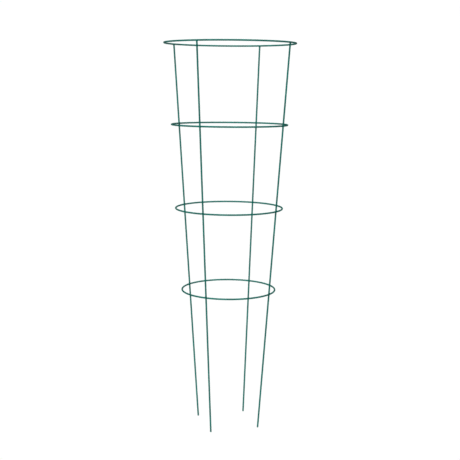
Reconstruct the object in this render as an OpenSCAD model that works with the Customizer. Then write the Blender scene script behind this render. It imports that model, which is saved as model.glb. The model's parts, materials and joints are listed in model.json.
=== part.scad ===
// Round wire plant-support cage: four level hoops on four straight legs that lean
// outwards from their tips to the open top. All eight wires are welded to each other.
// Frame: Z up, origin on the ground in the middle of the four leg tips.

/* [Wire] */
// Outside diameter of the coated wire
wire_d = 4; // [3:0.1:6]
// Depth that crossing wires are pressed into each other, as a share of the wire's diameter
press_share = 0.2; // [0.12:0.01:0.24]
// How far the pressing swells a leg's sides at a crossing, as a share of the wire's diameter
swell_share = 0.03; // [0.02:0.01:0.04]
// Half the length of a swelling along the leg, as a share of the wire's diameter
swell_reach_share = 0.85; // [0.8:0.05:1.2]
// Radius of the fused metal around a crossing, as a share of the wire's radius
bead_share = 1.3; // [1.25:0.01:1.4]
// How far a hoop's closing weld stands proud, as a share of the wire's diameter
closure_share = 0.1; // [0.04:0.01:0.15]
// Length of a hoop's closing weld
closure_length = 1.6; // [1:0.1:4]
// Width of the broken edge at a leg tip, as a share of the wire's diameter
chamfer_share = 0.1; // [0.02:0.01:0.2]

/* [Hoops] */
// Diameter of the top hoop, measured along the middle of its wire
top_ring_d = 355.6; // [280:0.1:450]
// Height of the top hoop's wire above the leg tips
top_ring_z = 1063; // [900:1:1200]
// Height of the upper hoop's wire
upper_ring_z = 845; // [750:1:880]
// Height of the lower hoop's wire
lower_ring_z = 616; // [520:1:700]
// Height of the bottom hoop's wire
bottom_ring_z = 387; // [250:1:450]

/* [Legs] */
// Diameter of the circle through the four leg tips
tip_circle_d = 193; // [150:1:230]

/* [Hidden] */
$fn = 144;
// Facets in a full turn of a hoop
HOOP_FN = 360;

wire_r = wire_d / 2;
press_depth = press_share * wire_d;
bead_r = bead_share * wire_r;
swell_r = wire_r + swell_share * wire_d;
swell_reach = swell_reach_share * wire_d;
closure_r = wire_r + closure_share * wire_d;
tip_chamfer = chamfer_share * wire_d;

// A leg rises and spreads by these amounts from its tip to the middle of the top hoop's wire
tip_circle_r = tip_circle_d / 2;
leg_spread = top_ring_d / 2 - tip_circle_r;
leg_lean = atan(leg_spread / top_ring_z);
// Distance from the axis to the middle of a leg at height z
function leg_r(z) = tip_circle_r + leg_spread * z / top_ring_z;

// The lean lifts the middle of the tip, so that the tip's outer edge just reaches the ground
tip_lift = (wire_r - tip_chamfer) * sin(leg_lean);
// Length of a leg up to its square end, which is pressed into the top hoop from below
leg_length = (top_ring_z - wire_r + press_depth - tip_lift) / cos(leg_lean);

// Distance along a leg from its tip to height z
function leg_run(z) = (z - tip_lift) / cos(leg_lean);
// Outline of a leg's side where it swells around the distance s along it
function swelling(s) = [
    [wire_r, s - swell_reach],
    [swell_r, s - swell_reach / 3],
    [swell_r, s + swell_reach / 3],
    [wire_r, s + swell_reach]
];

// Legs stand at the corners, so the open windows between them face along X and Y
LEG_NAMES = ["back_right", "back_left", "front_left", "front_right"];
LEG_ANGLES = [45, 135, 225, 315];

// Hoops from the top down. The side is 0 for a hoop that lies on the legs' upper ends,
// -1 for one that runs inside the legs, and 1 for one that runs outside them
RING_NAMES = ["top_ring", "upper_ring", "lower_ring", "bottom_ring"];
RING_HEIGHTS = [top_ring_z, upper_ring_z, lower_ring_z, bottom_ring_z];
RING_SIDES = [0, -1, 1, 1];
// Level distance between the middles of two wires that cross
crossing_gap = (wire_d - press_depth) / cos(leg_lean);
function ring_r(i) = leg_r(RING_HEIGHTS[i]) + RING_SIDES[i] * crossing_gap;

// Each hoop closes in the back window, to the left or the right of its middle
CLOSURE_ANGLES = [112, 68, 112, 68];
function closure_sweep(i) = 2 * asin(closure_length / 2 / ring_r(i));

// Middle of the fused metal between hoop i and a leg: its distance from the axis and its height
function weld_r(i) = leg_r(RING_HEIGHTS[i]) + RING_SIDES[i] * crossing_gap / 2;
function weld_z(i) = RING_HEIGHTS[i] - (RING_SIDES[i] == 0 ? wire_r - press_depth / 2 : 0);

// Angle of the stretch of a hoop that shapes the leg and the weld that it meets
MEETING_SWEEP = 12;

RINGS = [0:3];
LEGS = [0:3];
function closure_name(i) = str(RING_NAMES[i], "_closure");
function leg_name(k) = str("leg_", LEG_NAMES[k]);
function weld_name(i, k) = str("weld_", RING_NAMES[i], "_", LEG_NAMES[k]);

COAT_COLOUR = [0.22, 0.42, 0.38];
WELD_COLOUR = [0.18, 0.36, 0.33];

// A stretch of hoop i with a round section, centred on the given angle
module hoop_stretch(i, angle, sweep, section_r) {
    translate([0, 0, RING_HEIGHTS[i]])
        rotate([0, 0, angle - sweep / 2])
            rotate_extrude(angle = sweep, $fn = HOOP_FN)
                translate([ring_r(i), 0])
                    circle(r = section_r);
}

// Half the outline of a leg: a broken edge at the tip, plain wire that swells at each
// crossing, and a square swollen end under the top hoop
function leg_outline() = concat(
    [[0, 0], [wire_r - tip_chamfer, 0], [wire_r, tip_chamfer]],
    [for (i = [3, 2, 1]) each swelling(leg_run(RING_HEIGHTS[i]))],
    [[wire_r, leg_length - swell_reach], [swell_r, leg_length - swell_reach / 3]],
    [[swell_r, leg_length], [0, leg_length]]
);

// The round bar of leg k, before its hoops are pressed into it
module leg_bar(k) {
    rotate([0, 0, LEG_ANGLES[k]])
        translate([tip_circle_r, 0, tip_lift])
            rotate([0, leg_lean, 0])
                rotate_extrude()
                    polygon(leg_outline());
}

// One wire bent round into a hoop, with its two ends left apart for the closing weld
module ring(i) {
    color(COAT_COLOUR)
        hoop_stretch(i, CLOSURE_ANGLES[i] + 180, 360 - closure_sweep(i), wire_r);
}

// The upset collar of metal that joins a hoop's two ends
module closure(i) {
    color(WELD_COLOUR)
        hoop_stretch(i, CLOSURE_ANGLES[i], closure_sweep(i), closure_r);
}

// A leg, with the hollows that its four hoops are pressed into
module leg(k) {
    color(COAT_COLOUR)
        difference() {
            leg_bar(k);
            for (i = RINGS) hoop_stretch(i, LEG_ANGLES[k], MEETING_SWEEP, wire_r);
        }
}

// The fused metal around the place where hoop i and leg k are pressed together
module weld(i, k) {
    color(WELD_COLOUR)
        difference() {
            rotate([0, 0, LEG_ANGLES[k]])
                translate([weld_r(i), 0, weld_z(i)])
                    sphere(r = bead_r);
            leg_bar(k);
            hoop_stretch(i, LEG_ANGLES[k], MEETING_SWEEP, wire_r);
        }
}

for (i = RINGS) {
    ring(i);
    closure(i);
}
for (k = LEGS) {
    leg(k);
}
for (i = RINGS, k = LEGS) {
    weld(i, k);
}
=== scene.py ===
"""The looks of a round wire plant-support cage: coated wires, their welds, a studio and a camera."""

import json
import math

import bmesh
import bpy
import numpy as np
from mathutils import Matrix, Vector, noise


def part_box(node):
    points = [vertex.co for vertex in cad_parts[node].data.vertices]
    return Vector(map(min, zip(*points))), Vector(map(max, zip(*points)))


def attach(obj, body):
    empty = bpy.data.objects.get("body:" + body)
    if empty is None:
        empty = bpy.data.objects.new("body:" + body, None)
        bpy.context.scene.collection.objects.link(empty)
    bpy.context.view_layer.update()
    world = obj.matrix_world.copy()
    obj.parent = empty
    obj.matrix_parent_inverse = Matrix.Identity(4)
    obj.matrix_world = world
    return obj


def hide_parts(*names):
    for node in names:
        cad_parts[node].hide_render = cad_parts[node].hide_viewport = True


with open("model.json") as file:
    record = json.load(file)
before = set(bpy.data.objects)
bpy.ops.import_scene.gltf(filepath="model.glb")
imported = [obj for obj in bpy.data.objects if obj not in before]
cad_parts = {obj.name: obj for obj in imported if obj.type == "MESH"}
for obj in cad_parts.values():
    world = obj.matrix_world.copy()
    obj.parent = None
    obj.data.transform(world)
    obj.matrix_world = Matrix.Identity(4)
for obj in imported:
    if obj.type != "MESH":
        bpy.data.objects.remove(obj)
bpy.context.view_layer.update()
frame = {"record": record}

MM = 0.001

# ---------------------------------------------------------------- driving values, in metres

# Wires
SIDES = 28                      # points around a wire
HOOP_STEP = 5.0 * MM            # between stations on a hoop
LEG_STEP = 14.0 * MM            # between stations on a leg
FINE_STEP = 0.4 * MM            # between stations at a joint
FINE_REACH = 4.5 * MM           # distance on each side of a joint that has fine stations

# Marks that the welding electrodes leave on a wire, on the side away from the joint
MARK_DEPTH = 0.12 * MM
MARK_REACH = 2.6 * MM
MARK_RIM = 0.12                 # reach of a mark round the wire, as a share of its radius in depth
MARK_THIN = 0.25                # how thin the coat is on a mark, from 0 to 1
SWELL = 0.06 * MM               # how far the pressed wire spreads to its sides
SWELL_REACH = 2.4 * MM

# Welds
FILLET = 2.0 * MM               # width over which the metal of two crossing wires blends
WELD_REACH = 4.2 * MM           # from a weld's middle to where it has sunk into the wires
WELD_SINK = 0.03 * MM           # depth of the sunk part under the wires' surfaces
WELD_LUMP = 0.11 * MM           # unevenness of the fused metal
WELD_FINENESS = 5               # subdivisions of the ball that a weld is cast from
WELD_HALVINGS = 26              # steps of the search for a weld's surface
WELD_THIN = 0.15                # how thin the coat is on the fused metal, from 0 to 1
BUTT_DEPTH = 0.6                # how far below the top hoop's middle its welds sit, in wire radii
BUTT_TUCK = 0.3                 # how far below it the legs end, in wire radii

# Closing welds of the hoops
COLLAR_HEIGHT = 0.30 * MM
COLLAR_REACH = 1.9 * MM
COLLAR_STEP = 0.1 * MM
COLLAR_LUMP = 0.05 * MM
COLLAR_THIN = 0.6               # how thin the coat is on its crest, from 0 to 1

# Leg tips
TIP_EDGE = 0.40 * MM            # width of the broken edge
TIP_FRACTURE = 0.12 * MM        # unevenness of the sheared face
TIP_THIN = 0.8                  # how thin the coat is on the broken edge, from 0 to 1
TIP_THIN_REACH = 1.2 * MM       # how far up the leg it is thin

# Coat
COAT_COLOUR = (0.001, 0.158, 0.13)
DUST_COLOUR = (0.30, 0.33, 0.30)
COAT_IOR = 1.5
COAT_GLOSS = 0.15               # specular level, where 0.5 is that of plain clear varnish
CLOUD_SIZE = 22 * MM            # patches of lighter and darker coat
DRIFT_SIZE = 130 * MM           # slower change of the coat's darkness
PEEL_SIZE = 1.1 * MM            # bumps of the orange peel
PEEL_DEPTH = 0.12 * MM
LINE_WIDTH = 0.35 * MM          # marks left by drawing the wire, along it
LINE_STRETCH = 40
LINE_DEPTH = 0.03 * MM
SPECK_SIZE = 0.45 * MM          # specks of dust
SHARP_ANGLE = 50                # degrees between faces that show as an edge

# Camera
CAMERA_AZIMUTH = -16.65         # degrees from the front, as seen from above
CAMERA_DISTANCE = 2.5483        # from the cage's axis, measured on the level
CAMERA_HEIGHT = 0.9462
CAMERA_PAN = 0.074              # degrees to the right of the axis
CAMERA_PITCH = -8.745
CAMERA_ROLL = 0.431
CAMERA_LENS = 72.73             # millimetres on a sensor 36 mm wide


# ---------------------------------------------------------------- the wires, read from the frame

class Leg:
    """A straight wire: a point on its middle line, its direction upwards, and its corner's angle."""

    def __init__(self, corner):
        pin = next(m for m in frame["record"]["mounts"] if m["name"] == f"tip_{corner}")
        low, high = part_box(f"leg_{corner}")
        self.name = f"leg_{corner}"
        self.corner = corner
        self.up = -np.array(pin["axis"], float)
        self.up /= np.linalg.norm(self.up)
        point = np.array(pin["pos_m"], float)
        self.angle = math.atan2(point[1], point[0])
        lean = math.acos(self.up[2])
        tip_height = low.z + (WIRE_R - TIP_EDGE) * math.sin(lean)
        self.tip = point + self.up * (tip_height - point[2]) / self.up[2]
        self.out = np.array([math.cos(lean) * math.cos(self.angle),
                             math.cos(lean) * math.sin(self.angle),
                             -math.sin(lean)])
        self.side = np.cross(self.up, self.out)

    def run(self, height):
        """Distance along the wire from its tip to a height."""
        return (height - self.tip[2]) / self.up[2]

    def at(self, run):
        return self.tip + self.up * run

    def radius(self, height):
        """Distance from the cage's axis at a height."""
        return math.hypot(*self.at(self.run(height))[:2])


class Ring:
    """A level hoop: its radius, its height, and the angle at which its two ends are welded."""

    def __init__(self, name):
        low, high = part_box(name)
        self.name = name
        self.radius = (high.x - low.x) / 2 - WIRE_R
        self.height = (high.z + low.z) / 2
        weld_low, weld_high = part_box(f"{name}_closure")
        middle = (weld_low + weld_high) / 2
        self.closure = math.atan2(middle.y, middle.x)
        self.length = 2 * math.pi * self.radius

    def run(self, angle):
        """Distance along the wire, anticlockwise from the closing weld, to an angle."""
        return (angle - self.closure) % (2 * math.pi) * self.radius

    def at(self, run):
        angle = self.closure + run / self.radius
        return np.array([self.radius * math.cos(angle), self.radius * math.sin(angle), self.height])

    def out(self, run):
        angle = self.closure + run / self.radius
        return np.array([math.cos(angle), math.sin(angle), 0.0])


WIRE_R = frame["record"]["mounts"][0]["dims"]["r_mm"] * MM
LEGS = [Leg(c) for c in ("back_right", "back_left", "front_left", "front_right")]
RINGS = [Ring(n) for n in ("top_ring", "upper_ring", "lower_ring", "bottom_ring")]


def ring_side(ring, leg):
    """1 where the hoop passes outside the leg, -1 inside it, and 0 where it lies on the leg's end."""
    gap = ring.radius - leg.radius(ring.height)
    return 0 if abs(gap) < WIRE_R / 2 else int(math.copysign(1, gap))


# ---------------------------------------------------------------- mesh tools

def smooth(x):
    """0 below 0, 1 above 1, and an easy curve between."""
    x = np.clip(x, 0.0, 1.0)
    return x * x * (3 - 2 * x)


def stations(start, stop, coarse, marks):
    """Places from start to stop that lie close together near each mark and far apart elsewhere."""
    places = [start]
    while places[-1] < stop:
        gap = min((abs(places[-1] - m) for m in marks), default=coarse)
        step = FINE_STEP + (coarse - FINE_STEP) * float(smooth((gap - FINE_REACH) / (2 * coarse)))
        places.append(places[-1] + step)
    places[-1] = stop
    if len(places) > 2 and places[-1] - places[-2] < FINE_STEP / 2:
        places.pop(-2)
    return np.array(places)


def lumps(points, size, seed):
    """Smooth noise from -1 to 1 at each point, with lumps of the given size."""
    shift = Vector((seed * 7.13, seed * 3.71, seed * 5.37))
    return np.array([noise.noise(Vector(p) / size + shift) for p in points])


def piece(name, node, slot, verts, faces, thin, wire=None):
    """A mesh object that stands for a CAD node. thin is 1 where the coat is thin and 0 where it is
    full. wire holds each point's place in its wire: across, up and along."""
    mesh = bpy.data.meshes.new(name)
    mesh.from_pydata([tuple(v) for v in verts], [], faces)
    attribute = mesh.attributes.new("thin", "FLOAT", "POINT")
    attribute.data.foreach_set("value", thin)
    if wire is not None:
        attribute = mesh.attributes.new("wire", "FLOAT_VECTOR", "POINT")
        attribute.data.foreach_set("vector", np.asarray(wire, float).ravel())
    work = bmesh.new()
    work.from_mesh(mesh)
    bmesh.ops.recalc_face_normals(work, faces=work.faces)
    work.to_mesh(mesh)
    work.free()
    mesh.shade_smooth()
    mesh.set_sharp_from_angle(angle=math.radians(SHARP_ANGLE))
    obj = bpy.data.objects.new(name, mesh)
    bpy.context.scene.collection.objects.link(obj)
    mesh.materials.append(MATERIALS[slot])
    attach(obj, "root")
    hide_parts(node)
    return obj


def tube(centres, outs, ups, radii):
    """Points and faces of a closed tube: rows of points around each station, with a cap on each end."""
    rows, sides = radii.shape
    turn = np.arange(sides) * 2 * math.pi / sides
    across = np.cos(turn)[None, :, None] * outs[:, None, :]
    across = across + np.sin(turn)[None, :, None] * ups[:, None, :]
    verts = centres[:, None, :] + radii[:, :, None] * across
    verts = np.concatenate([verts.reshape(-1, 3), centres[:1], centres[-1:]])
    faces = []
    for row in range(rows - 1):
        for k in range(sides):
            a, b = row * sides + k, row * sides + (k + 1) % sides
            faces.append((a, b, b + sides, a + sides))
    first, last, top = rows * sides, rows * sides + 1, (rows - 1) * sides
    for k in range(sides):
        faces.append((first, (k + 1) % sides, k))
        faces.append((last, top + k, top + (k + 1) % sides))
    return verts, faces


def tube_places(runs, radii):
    """Each point's place in its wire, in the order that tube() makes the points."""
    rows, sides = radii.shape
    turn = np.arange(sides) * 2 * math.pi / sides
    places = np.stack([radii * np.cos(turn), radii * np.sin(turn),
                       np.repeat(runs[:, None], sides, 1)], axis=2).reshape(-1, 3)
    ends = np.array([[0, 0, runs[0]], [0, 0, runs[-1]]])
    return np.concatenate([places, ends])


def pressed(radii, runs, mark, towards):
    """Flattens a wire on the side that faces the electrode at one joint, and swells its sides.
    towards is the angle around the wire of the flattened side. Returns how strong the mark is."""
    turn = np.arange(radii.shape[1]) * 2 * math.pi / radii.shape[1] - towards
    near = 1 - smooth((np.abs(runs - mark) - MARK_REACH / 2) / (MARK_REACH / 2))
    spread = 1 - smooth(np.abs(runs - mark) / SWELL_REACH)
    radii += SWELL * spread[:, None] * np.sin(turn)[None, :] ** 2
    flat = (WIRE_R - MARK_DEPTH * near[:, None]) / np.maximum(np.cos(turn)[None, :], 0.05)
    radii[:] = np.minimum(radii, np.where(np.cos(turn)[None, :] > 0.5, flat, np.inf))
    off = np.hypot((runs - mark)[:, None] / MARK_REACH, (1 - np.cos(turn))[None, :] / MARK_RIM)
    return 1 - smooth((off - 0.1) / 1.1)


# ---------------------------------------------------------------- materials

def add_node(tree, kind, inputs=(), **settings):
    """A shader node with its settings made and its inputs set or linked."""
    made = tree.nodes.new("ShaderNode" + kind)
    for key, value in settings.items():
        setattr(made, key, value)
    for key, value in dict(inputs).items():
        if isinstance(value, bpy.types.NodeSocket):
            tree.links.new(value, made.inputs[key])
        else:
            made.inputs[key].default_value = value
    return made


def noise_field(tree, where, size, detail=3.0, roughness=0.5, stretch=1.0):
    """Noise from 0 to 1 with features of the given size, stretched along the last axis."""
    squeeze = add_node(tree, "Mapping", {"Vector": where, "Scale": (1, 1, 1 / stretch)})
    field = add_node(tree, "TexNoise", {"Vector": squeeze.outputs["Vector"], "Scale": 1 / size,
                                        "Detail": detail, "Roughness": roughness})
    return field.outputs["Fac"]


def remap(tree, value, low, high, to_low=0.0, to_high=1.0):
    """value from the range low to high, taken smoothly to another range."""
    made = add_node(tree, "MapRange", {"Value": value, "From Min": low, "From Max": high,
                                       "To Min": to_low, "To Max": to_high},
                    interpolation_type="SMOOTHSTEP")
    return made.outputs["Result"]


def mix(tree, factor, a, b):
    """Colour a where the factor is 0 and colour b where it is 1."""
    made = add_node(tree, "Mix", data_type="RGBA")
    for key, value in (("Factor", factor), ("A", a), ("B", b)):
        socket = [s for s in made.inputs if s.name == key and s.enabled][0]
        if isinstance(value, bpy.types.NodeSocket):
            tree.links.new(value, socket)
        else:
            socket.default_value = value
    return [s for s in made.outputs if s.enabled][0]


def arithmetic(tree, operation, a, b):
    made = add_node(tree, "Math", {0: a, 1: b}, operation=operation)
    return made.outputs["Value"]


def coat_material(name, colour, peel, grain):
    """Satin powder coat over steel: orange peel, faint drawing lines, cloudy colour and gloss,
    a thinner and darker coat on edges and marks, and a little dust. Its pattern runs on from one
    piece to the next, apart from the drawing lines, which follow their own wire."""
    material = bpy.data.materials.new(name)
    material.use_nodes = True
    tree = material.node_tree
    shader = tree.nodes["Principled BSDF"]
    where = add_node(tree, "TexCoord").outputs["Object"]
    along = add_node(tree, "Attribute", attribute_name="wire").outputs["Vector"]
    thin = add_node(tree, "Attribute", attribute_name="thin").outputs["Fac"]

    clouds = noise_field(tree, where, CLOUD_SIZE, detail=4)
    drift = noise_field(tree, where, DRIFT_SIZE, detail=2)
    orange_peel = noise_field(tree, where, PEEL_SIZE, detail=2)
    lines = noise_field(tree, along, LINE_WIDTH, detail=2, stretch=LINE_STRETCH)
    specks = noise_field(tree, where, SPECK_SIZE, detail=1)

    light = tuple(c * 1.16 for c in colour) + (1,)
    dark = tuple(c * 0.84 for c in colour) + (1,)
    bare = tuple(c * 0.45 + 0.006 for c in colour) + (1,)
    shade = mix(tree, remap(tree, clouds, 0.3, 0.7), dark, light)
    shade = mix(tree, remap(tree, drift, 0.35, 0.75, 0.0, 0.35), shade, dark)
    worn = arithmetic(tree, "MULTIPLY", thin, remap(tree, orange_peel, 0.3, 0.6, 0.45, 1.0))
    shade = mix(tree, worn, shade, bare)
    shade = mix(tree, remap(tree, specks, 0.74, 0.80, 0.0, 0.3), shade, DUST_COLOUR + (1,))
    tree.links.new(shade, shader.inputs["Base Color"])

    rough = remap(tree, clouds, 0.25, 0.75, 0.36, 0.48)
    rough = arithmetic(tree, "ADD", rough, remap(tree, specks, 0.6, 0.8, 0.0, 0.15))
    rough = arithmetic(tree, "ADD", rough, arithmetic(tree, "MULTIPLY", worn, 0.12))
    tree.links.new(rough, shader.inputs["Roughness"])
    shader.inputs["IOR"].default_value = COAT_IOR
    shader.inputs["Specular IOR Level"].default_value = COAT_GLOSS

    peel_bump = add_node(tree, "Bump", {"Height": orange_peel, "Strength": peel,
                                        "Distance": PEEL_DEPTH})
    line_bump = add_node(tree, "Bump", {"Height": lines, "Strength": grain, "Distance": LINE_DEPTH,
                                        "Normal": peel_bump.outputs["Normal"]})
    tree.links.new(line_bump.outputs["Normal"], shader.inputs["Normal"])
    return material


MATERIALS = {
    "wire_coat": coat_material("wire_coat", COAT_COLOUR, peel=0.8, grain=0.35),
    "weld_coat": coat_material("weld_coat", COAT_COLOUR, peel=0.9, grain=0.0),
}


# ---------------------------------------------------------------- hoops and their closing welds

def build_ring(ring):
    """A hoop's wire, from one side of its closing weld round to the other."""
    half_gap = COLLAR_REACH / 2
    joints = [(ring.run(leg.angle), ring_side(ring, leg)) for leg in LEGS]
    marks = [run for run, _ in joints]
    runs = stations(half_gap, ring.length - half_gap, HOOP_STEP, marks)
    radii = np.full((len(runs), SIDES), WIRE_R)
    flat = np.zeros_like(radii)
    for run, side in joints:
        towards = math.pi / 2 if side == 0 else (math.pi if side < 0 else 0.0)
        flat = np.maximum(flat, pressed(radii, runs, run, towards))
    centres = np.array([ring.at(s) for s in runs])
    outs = np.array([ring.out(s) for s in runs])
    ups = np.tile([0.0, 0.0, 1.0], (len(runs), 1))
    verts, faces = tube(centres, outs, ups, radii)
    thin = np.concatenate([MARK_THIN * flat.ravel(), [0, 0]])
    piece(f"{ring.name}_wire", ring.name, "wire_coat", verts, faces, thin, tube_places(runs, radii))


def build_collar(ring, seed):
    """The upset ring of metal where the two ends of a hoop were butt welded."""
    runs = np.arange(-COLLAR_REACH, COLLAR_REACH + COLLAR_STEP / 2, COLLAR_STEP)
    bell = smooth(1 - np.abs(runs) / COLLAR_REACH)
    notch = 0.25 * np.exp(-(runs / (0.25 * MM)) ** 2)
    height = COLLAR_HEIGHT * (bell - notch) - 2 * WELD_SINK * (1 - bell)
    centres = np.array([ring.at(s) for s in runs])
    outs = np.array([ring.out(s) for s in runs])
    ups = np.tile([0.0, 0.0, 1.0], (len(runs), 1))
    radii = np.tile(WIRE_R + height[:, None], (1, SIDES))
    verts, faces = tube(centres, outs, ups, radii)
    lump = lumps(verts[:-2], 0.9 * MM, seed).reshape(radii.shape)
    radii += (COLLAR_LUMP * lump - COLLAR_LUMP) * bell[:, None]
    verts, faces = tube(centres, outs, ups, radii)
    thin = np.concatenate([np.repeat(COLLAR_THIN * bell, SIDES), [0, 0]])
    piece(f"{ring.name}_closing_weld", f"{ring.name}_closure", "weld_coat", verts, faces, thin)


# ---------------------------------------------------------------- legs

def build_leg(leg, seed):
    """A leg's wire, from its sheared tip up into the underside of the top hoop."""
    crossings = [(leg.run(r.height), ring_side(r, leg)) for r in RINGS]
    end = leg.run(RINGS[0].height - BUTT_TUCK * WIRE_R)
    body = stations(TIP_EDGE * 1.4, end, LEG_STEP, [0.0] + [run for run, _ in crossings])
    edge = np.array([0.0, 0.04, 0.12, 0.25]) * MM
    edge_r = WIRE_R - np.array([0.44, 0.29, 0.15, 0.05]) * MM
    face_r = edge_r[0] * np.array([0.25, 0.5, 0.75, 0.93])
    runs = np.concatenate([np.zeros(len(face_r)), edge, body])
    radii = np.full((len(runs), SIDES), WIRE_R)
    radii[:len(face_r)] = face_r[:, None]
    radii[len(face_r):len(face_r) + len(edge)] = edge_r[:, None]
    flat = np.zeros_like(radii)
    for run, side in crossings:
        if side:
            flat = np.maximum(flat, pressed(radii, runs, run, math.pi if side > 0 else 0.0))
    centres = np.array([leg.at(s) for s in runs])
    outs, ups = np.tile(leg.out, (len(runs), 1)), np.tile(leg.side, (len(runs), 1))
    verts, faces = tube(centres, outs, ups, radii)
    places = tube_places(runs, radii)

    # the sheared face: smooth on one half, torn and set back on the other
    face_points = np.r_[0:len(face_r) * SIDES, len(verts) - 2]
    torn = smooth((places[face_points, 0] * (1 if seed % 2 else -1) + 0.2 * MM) / (0.5 * MM))
    rough = 0.5 + 0.5 * lumps(places[face_points], 0.45 * MM, seed)
    verts[face_points] += leg.up * (TIP_FRACTURE * (0.25 + torn * (0.5 + 0.5 * rough)))[:, None]

    thin = np.concatenate([MARK_THIN * flat.ravel(), [0, 0]])
    low = np.concatenate([np.repeat(runs, SIDES), [0, end]])
    thin = np.maximum(thin, TIP_THIN * (1 - smooth(low / TIP_THIN_REACH)))
    places[:, 2] += seed
    piece(f"{leg.name}_wire", leg.name, "wire_coat", verts, faces, thin, places)


# ---------------------------------------------------------------- welds between hoops and legs

def ball(fineness):
    """Directions and faces of a finely divided ball."""
    work = bmesh.new()
    bmesh.ops.create_icosphere(work, subdivisions=fineness, radius=1.0)
    work.verts.ensure_lookup_table()
    directions = np.array([v.co.normalized() for v in work.verts], float)
    faces = [tuple(v.index for v in f.verts) for f in work.faces]
    work.free()
    return directions, faces


BALL, BALL_FACES = ball(WELD_FINENESS)


def distances(points, ring, leg):
    """How far points lie outside a hoop's wire and outside a leg's wire."""
    from_ring = np.hypot(np.hypot(points[:, 0], points[:, 1]) - ring.radius,
                         points[:, 2] - ring.height) - WIRE_R
    along = (points - leg.tip) @ leg.up
    from_leg = np.linalg.norm(points - leg.tip - along[:, None] * leg.up, axis=1) - WIRE_R
    end = leg.run(ring.height - BUTT_TUCK * WIRE_R) if ring_side(ring, leg) == 0 else np.inf
    return from_ring, np.maximum(from_leg, along - end)


def blended(from_ring, from_leg):
    """Distance outside the two wires with their crease filled by fused metal."""
    share = np.clip(0.5 + 0.5 * (from_leg - from_ring) / FILLET, 0, 1)
    return from_leg * (1 - share) + from_ring * share - FILLET * share * (1 - share)


def build_weld(ring, leg, seed):
    """The fused metal at one crossing: a lumpy fillet that sinks into both wires around it."""
    side = ring_side(ring, leg)
    on_leg = leg.at(leg.run(ring.height))
    on_ring = ring.at(ring.run(leg.angle))
    outwards = np.array([math.cos(leg.angle), math.sin(leg.angle), 0.0])
    if side == 0:
        middle = on_ring - np.array([0, 0, BUTT_DEPTH * WIRE_R])
        press = np.array([0.0, 0.0, 1.0])
        front, back = (BUTT_DEPTH + 1) * WIRE_R, 2 * WELD_REACH
    else:
        middle = (on_leg + on_ring) / 2
        press = outwards * side
        front = back = np.linalg.norm(on_ring - on_leg) / 2 + WIRE_R
    limit = np.full(len(BALL), WELD_REACH)
    facing = BALL @ press
    margin = MARK_DEPTH + WELD_SINK
    limit = np.minimum(limit, np.where(facing > 0, (front - margin) / np.maximum(facing, 1e-6), np.inf))
    limit = np.minimum(limit, np.where(facing < 0, (back - margin) / np.maximum(-facing, 1e-6), np.inf))

    low, high = np.zeros(len(BALL)), limit.copy()
    for _ in range(WELD_HALVINGS):
        mid = (low + high) / 2
        inside = blended(*distances(middle + BALL * mid[:, None], ring, leg)) < -WELD_SINK
        low, high = np.where(inside, mid, low), np.where(inside, high, mid)
    reach = (low + high) / 2
    points = middle + BALL * reach[:, None]
    proud = smooth(np.minimum(*distances(points, ring, leg)) / (0.3 * MM))
    lump = 0.65 * lumps(points, 1.3 * MM, seed) + 0.35 * lumps(points, 0.5 * MM, seed + 50)
    points = points + BALL * (WELD_LUMP * lump * proud)[:, None]
    piece(f"{ring.name}_{leg.corner}_fillet", f"weld_{ring.name}_{leg.corner}", "weld_coat",
          points, BALL_FACES, WELD_THIN * proud)


for number, ring in enumerate(RINGS):
    build_ring(ring)
    build_collar(ring, seed=number + 1)
for number, leg in enumerate(LEGS):
    build_leg(leg, seed=number + 11)
for number, (ring, leg) in enumerate((r, l) for r in RINGS for l in LEGS):
    build_weld(ring, leg, seed=number + 21)


# ---------------------------------------------------------------- studio

# Soft lights: name, azimuth from the camera's side in degrees, elevation, angular size, strength
LIGHTS = (
    ("front", -15, 20, 28, 3.5),
    ("right", 95, 60, 40, 0.4),
    ("back", 165, 65, 40, 2.8),
    ("left", -95, 60, 40, 0.4),
)
SURROUNDING = 0.1               # brightness of the white surroundings as a source of light
WHITE = 1.02                    # brightness of the floor and surroundings as seen, a little over white
FLOOR_REACH = 15.0              # from the floor's middle to its edges
FLOOR_BOUNCE = 0.5              # share of the light on the floor that it throws back up

# Picture: thin wires come out as wide and as deep in tone as a shop photograph shows them
TONE_GAMMA = 0.7
PIXEL_REACH = 1.7               # how far the picture spreads a point, in pixels


def camera_value(tree, as_light, as_seen):
    """One value for what lights the cage and another for what shows behind it."""
    path = tree.nodes.new("ShaderNodeLightPath")
    value = add_node(tree, "MapRange", {"Value": path.outputs["Is Camera Ray"],
                                        "To Min": as_light, "To Max": as_seen})
    return value.outputs["Result"]


def build_floor():
    """A wide floor that throws light up at the cage, and shows as white without shadows."""
    mesh = bpy.data.meshes.new("floor")
    corners = [(-1, -1), (1, -1), (1, 1), (-1, 1)]
    mesh.from_pydata([(x * FLOOR_REACH, y * FLOOR_REACH, 0) for x, y in corners], [], [(0, 1, 2, 3)])
    floor = bpy.data.objects.new("floor", mesh)
    bpy.context.scene.collection.objects.link(floor)
    material = bpy.data.materials.new("studio_floor")
    material.use_nodes = True
    tree = material.node_tree
    shader = tree.nodes["Principled BSDF"]
    tree.links.new(camera_value(tree, FLOOR_BOUNCE, 0.0), shader.inputs["Base Color"])
    tree.links.new(camera_value(tree, 0.0, WHITE), shader.inputs["Emission Strength"])
    shader.inputs["Emission Color"].default_value = (1, 1, 1, 1)
    shader.inputs["Roughness"].default_value = 1.0
    shader.inputs["Specular IOR Level"].default_value = 0.0
    mesh.materials.append(material)


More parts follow.
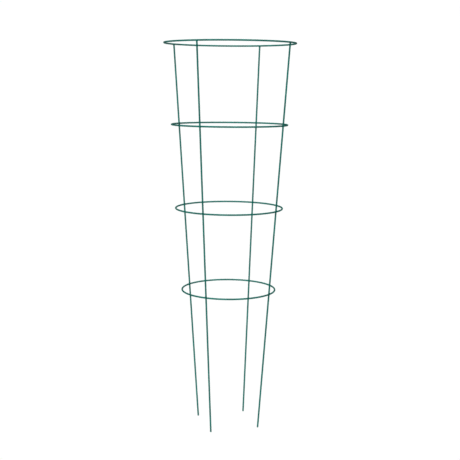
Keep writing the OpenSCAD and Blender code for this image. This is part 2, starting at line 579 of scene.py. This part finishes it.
def build_lights():
    """Wide, soft, distant lights."""
    for name, azimuth, elevation, spread, strength in LIGHTS:
        turn, rise = math.radians(CAMERA_AZIMUTH + azimuth), math.radians(elevation)
        source = Vector((math.sin(turn) * math.cos(rise), -math.cos(turn) * math.cos(rise),
                         math.sin(rise)))
        data = bpy.data.lights.new(name, "SUN")
        data.energy = strength
        data.angle = math.radians(spread)
        light = bpy.data.objects.new(name, data)
        bpy.context.scene.collection.objects.link(light)
        light.matrix_world = source.to_track_quat("Z", "Y").to_matrix().to_4x4()


def build_world():
    """White all round: full white behind the cage, and dimmer as a source of light."""
    world = bpy.data.worlds.new("studio")
    bpy.context.scene.world = world
    world.use_nodes = True
    tree = world.node_tree
    background = tree.nodes["Background"]
    background.inputs["Color"].default_value = (1, 1, 1, 1)
    tree.links.new(camera_value(tree, SURROUNDING, WHITE), background.inputs["Strength"])


def build_camera():
    """The photograph's viewpoint, from in front, a little to the left and below the top hoop."""
    azimuth = math.radians(CAMERA_AZIMUTH)
    heading = math.radians(CAMERA_PAN) - azimuth
    pitch, roll = math.radians(CAMERA_PITCH), math.radians(CAMERA_ROLL)
    place = Vector((math.sin(azimuth) * CAMERA_DISTANCE, -math.cos(azimuth) * CAMERA_DISTANCE,
                    CAMERA_HEIGHT))
    ahead = Vector((math.sin(heading) * math.cos(pitch), math.cos(heading) * math.cos(pitch),
                    math.sin(pitch)))
    right = Vector((math.cos(heading), -math.sin(heading), 0))
    above = right.cross(ahead)
    camera_x = right * math.cos(roll) + above * math.sin(roll)
    camera_y = above * math.cos(roll) - right * math.sin(roll)
    data = bpy.data.cameras.new("camera")
    data.lens = CAMERA_LENS
    data.sensor_width = 36
    camera = bpy.data.objects.new("camera", data)
    bpy.context.scene.collection.objects.link(camera)
    turn = Matrix((camera_x, camera_y, -ahead)).transposed()
    camera.matrix_world = Matrix.Translation(place) @ turn.to_4x4()
    bpy.context.scene.camera = camera


build_world()
build_floor()
build_lights()
build_camera()
bpy.context.scene.view_settings.view_transform = "Standard"
bpy.context.scene.view_settings.gamma = TONE_GAMMA
bpy.context.scene.cycles.filter_width = PIXEL_REACH
